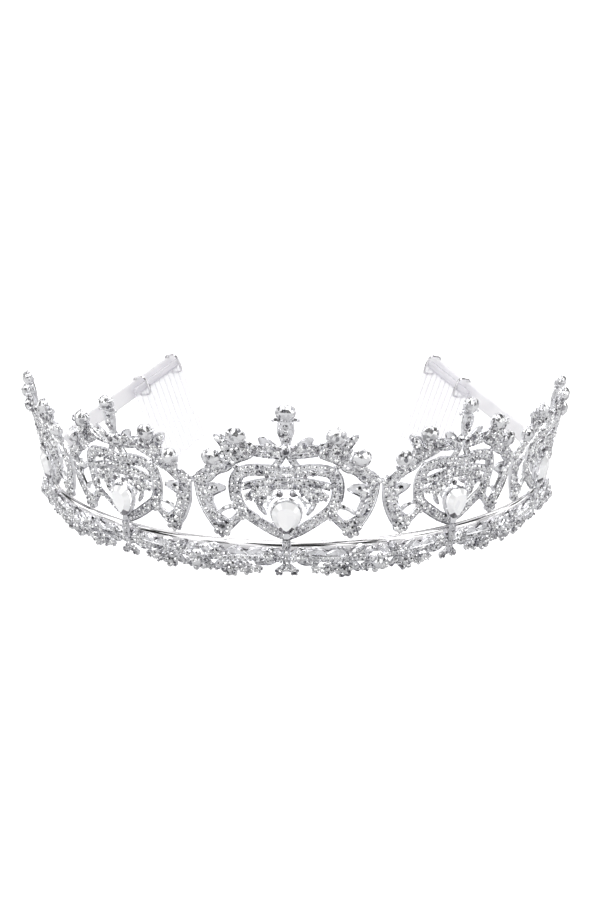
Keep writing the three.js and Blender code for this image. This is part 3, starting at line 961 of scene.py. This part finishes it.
satinFaces = [face.index for face in strip.data.polygons if abs(face.center.x) > band["satinFrom"]]
bendOnto(strip, 0, 1)
smoothBy(strip, 40)
for index in satinFaces:
    strip.data.polygons[index].material_index = 1
strip.name = "spring_band"
strip.data.name = "spring_band"
strip.data.materials.append(polishedRhodium)
strip.data.materials.append(satinRhodium)
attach(strip, "crown")
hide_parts("base_band")
print("band bent")

# ---- combs and the wire ties that hold them
comb = {
    "start": 172.6, "width": 26, "spine": 1.2, "depth": -1.75, "height": -2, "teeth": 10,
    "reach": 29.5, "root": 0.7, "tip": 0.6, "ties": [1, 8], "wire": 0.3, "slack": 0.42,
    "broad": 1.82,
}
toothPitch = (comb["width"] - 2 * comb["root"]) / (comb["teeth"] - 1)


def combPlace(side):
    # the comb's own frame: x along its spine to the tail, y to the head, z up its teeth
    start = crownPoint(side * comb["start"], comb["height"], comb["depth"])
    end = crownPoint(side * (comb["start"] + comb["width"]), comb["height"], comb["depth"])
    along = (end - start).normalized()
    down = crownPoint(side * comb["start"], comb["height"] - 1, comb["depth"]) - start
    up = -(down - along * down.dot(along)).normalized()
    across = up.cross(along)
    place = Matrix((along, across, up)).transposed().to_4x4()
    place.translation = start
    return place


def makeComb():
    parts = []
    bpy.ops.mesh.primitive_cylinder_add(vertices=20, radius=comb["spine"], depth=comb["width"],
                                        location=(comb["width"] / 2, 0, 0), rotation=(0, math.pi / 2, 0))
    spine = settle(bpy.context.object)
    rounding = spine.modifiers.new("ends", "BEVEL")
    rounding.width = 0.5
    rounding.segments = 3
    rounding.limit_method = "ANGLE"
    rounding.angle_limit = 50 * degree
    pickOnly(spine)
    bpy.ops.object.modifier_apply(modifier=rounding.name)
    parts.append(spine)
    for i in range(comb["teeth"]):
        at = comb["root"] + i * toothPitch
        bpy.ops.mesh.primitive_cone_add(vertices=12, radius1=comb["tip"], radius2=comb["root"],
                                        depth=comb["reach"], location=(at, 0, -comb["reach"] / 2))
        tooth = settle(bpy.context.object)
        for vertex in tooth.data.vertices:
            # broad flat teeth
            vertex.co.x = at + (vertex.co.x - at) * comb["broad"]
        pickOnly(tooth)
        tipRound = tooth.modifiers.new("tip", "BEVEL")
        tipRound.width = 0.14
        tipRound.segments = 2
        tipRound.limit_method = "ANGLE"
        tipRound.angle_limit = 50 * degree
        bpy.ops.object.modifier_apply(modifier=tipRound.name)
        parts.append(tooth)
    piece = joinAll(parts, "combMaster")
    smoothBy(piece, 40)
    piece.data.materials.append(combPlastic)
    return piece


def makeTie(side, at):
    # two close turns of wire round the band and the spine
    head = comb["spine"] + comb["slack"] * 0.8 + comb["wire"]
    front = comb["depth"] - band["thick"] - comb["slack"] - comb["wire"] * 0.9
    half = band["tailHeight"] / 2 + comb["slack"] + comb["wire"] * 0.6
    path = []
    turns, steps, width = 2, 28, 0.84
    pinch = 0.42   # under 1 squares the turns off
    for i in range(turns * steps + 1):
        angle = 2 * math.pi * i / steps
        c, s = math.cos(angle), math.sin(angle)
        y = (front + head) / 2 + (head - front) / 2 * math.copysign(abs(c) ** pinch, c)
        z = half * math.copysign(abs(s) ** pinch, s)
        path.append((at - width / 2 + width * i / (turns * steps), side * y, z))
    bpy.ops.curve.primitive_nurbs_path_add()
    curve = bpy.context.object
    spline = curve.data.splines[0]
    spline.points.add(len(path) - len(spline.points))
    spline.type = "POLY"
    for point, spot in zip(spline.points, path):
        point.co = (*spot, 1)
        point.radius = 1
    curve.data.bevel_depth = comb["wire"]
    curve.data.bevel_resolution = 2
    curve.data.use_fill_caps = True
    pickOnly(curve)
    bpy.ops.object.convert(target="MESH")
    tie = smoothBy(settle(bpy.context.object), 40)
    tie.data.materials.append(brightWire)
    return tie


combMaster = makeComb()
for hand, side in (("left", -1), ("right", 1)):
    place = combPlace(side)
    scaled = place @ Matrix.Scale(mm, 4)
    piece = copyOf(combMaster, hand + "_clear_comb")
    for vertex in piece.data.vertices:
        vertex.co = scaled @ vertex.co
    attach(piece, hand + "_comb")
    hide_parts(hand + "_comb")
    for number, tooth in enumerate(comb["ties"], 1):
        tie = makeTie(side, comb["root"] + (tooth + 0.5) * toothPitch)
        for vertex in tie.data.vertices:
            vertex.co = scaled @ vertex.co
        tie.name = f"{hand}_tie_wire_{number}"
        tie.data.name = tie.name
        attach(tie, "crown")
        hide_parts(f"{hand}_wire_tie_{number}")
print("combs tied on")

for master in (roundMaster, paveMaster, paintedShadeMaster, pearMaster, motifMetal, motifPave,
               finialMetal, finialPave, swagMetal, swagPave, combMaster):
    bpy.data.objects.remove(master)

# ---- floor, light and camera
stage = {"floor": 3.0, "floorColor": (0.62, 0.62, 0.63), "glow": 0.95}
clearSelection()
bpy.ops.mesh.primitive_plane_add(size=stage["floor"])
floor = bpy.context.object
floor.name = "floor"
material, nodes, links, shader = newMaterial("paleFloor")
shader.inputs["Base Color"].default_value = (*stage["floorColor"], 1)
shader.inputs["Roughness"].default_value = 0.9
path = nodes.new("ShaderNodeLightPath")
glow = nodes.new("ShaderNodeMix")
glow.data_type = "RGBA"
links.new(path.outputs["Is Camera Ray"], glow.inputs["Factor"])
glow.inputs["A"].default_value = (0, 0, 0, 1)
glow.inputs["B"].default_value = (stage["glow"],) * 3 + (1,)
links.new(glow.outputs["Result"], shader.inputs["Emission Color"])
shader.inputs["Emission Strength"].default_value = 1
floor.data.materials.append(material)

studio = {
    "light": 1.1, "dark": 0.02, "bright": 1.3, "cells": 4.4,
    "opening": (0.03, -0.97, 0.22), "wide": 0.34,
}
world = bpy.data.worlds.new("studio")
bpy.context.scene.world = world
world.use_nodes = True
nodes, links = world.node_tree.nodes, world.node_tree.links
background = nodes["Background"]
direction = nodes.new("ShaderNodeTexCoord")
cards = nodes.new("ShaderNodeTexVoronoi")
cards.inputs["Scale"].default_value = studio["cells"]
links.new(direction.outputs["Generated"], cards.inputs["Vector"])
shape = nodes.new("ShaderNodeValToRGB")
shape.color_ramp.interpolation = "EASE"
shape.color_ramp.elements[0].position = 0.4
shape.color_ramp.elements[0].color = (studio["dark"],) * 3 + (1,)
shape.color_ramp.elements[1].position = 0.52
shape.color_ramp.elements[1].color = (studio["bright"],) * 3 + (1,)
links.new(cards.outputs["Color"], shape.inputs["Fac"])
gap = nodes.new("ShaderNodeVectorMath")
gap.operation = "DISTANCE"
links.new(direction.outputs["Generated"], gap.inputs[0])
gap.inputs[1].default_value = studio["opening"]
edge = nodes.new("ShaderNodeMapRange")
edge.inputs["From Min"].default_value = studio["wide"] * 0.8
edge.inputs["From Max"].default_value = studio["wide"]
edge.inputs["To Min"].default_value = 0.03
links.new(gap.outputs["Value"], edge.inputs["Value"])
shaded = nodes.new("ShaderNodeMix")
shaded.data_type = "RGBA"
shaded.inputs["A"].default_value = (0, 0, 0, 1)
links.new(edge.outputs["Result"], shaded.inputs["Factor"])
links.new(shape.outputs["Color"], shaded.inputs["B"])
path = nodes.new("ShaderNodeLightPath")
seen = nodes.new("ShaderNodeMix")
seen.data_type = "RGBA"
links.new(path.outputs["Is Camera Ray"], seen.inputs["Factor"])
links.new(shaded.outputs["Result"], seen.inputs["A"])
seen.inputs["B"].default_value = (1, 1, 1, 1)
links.new(seen.outputs["Result"], background.inputs["Color"])
background.inputs["Strength"].default_value = studio["light"]


def softLight(name, place, size, power):
    bpy.ops.object.light_add(type="AREA", location=place)
    lamp = bpy.context.object
    lamp.name = name
    lamp.data.size = size
    lamp.data.energy = power
    lamp.rotation_euler = (Vector((0, 0, 0.02)) - Vector(place)).to_track_quat("-Z", "Y").to_euler()


softLight("key", (-0.35, -0.45, 0.6), 0.35, 1.2)
softLight("fill", (0.5, -0.3, 0.35), 0.3, 0.5)
softLight("top", (0.05, 0.15, 0.7), 0.5, 1.0)

view = {
    "place": (0.012468, -0.404663, 0.099368),
    "ahead": (-0.0302194, 0.978402, -0.204491),
    "roll": 0.00221,
    "lens": 54.839,
    "shift": (0.00502, 0.01565),
}
bpy.ops.object.camera_add(location=view["place"])
camera = bpy.context.object
camera.rotation_euler = (Vector(view["ahead"]).to_track_quat("-Z", "Y").to_matrix()
                         @ Matrix.Rotation(view["roll"], 3, "Z")).to_euler()
camera.data.sensor_width = 36
camera.data.lens = view["lens"]
camera.data.shift_x, camera.data.shift_y = view["shift"]
camera.data.clip_start = 0.01
bpy.context.scene.camera = camera
bpy.context.scene.view_settings.view_transform = "Standard"
clearSelection()
print("stage set")

bpy.context.view_layer.update()
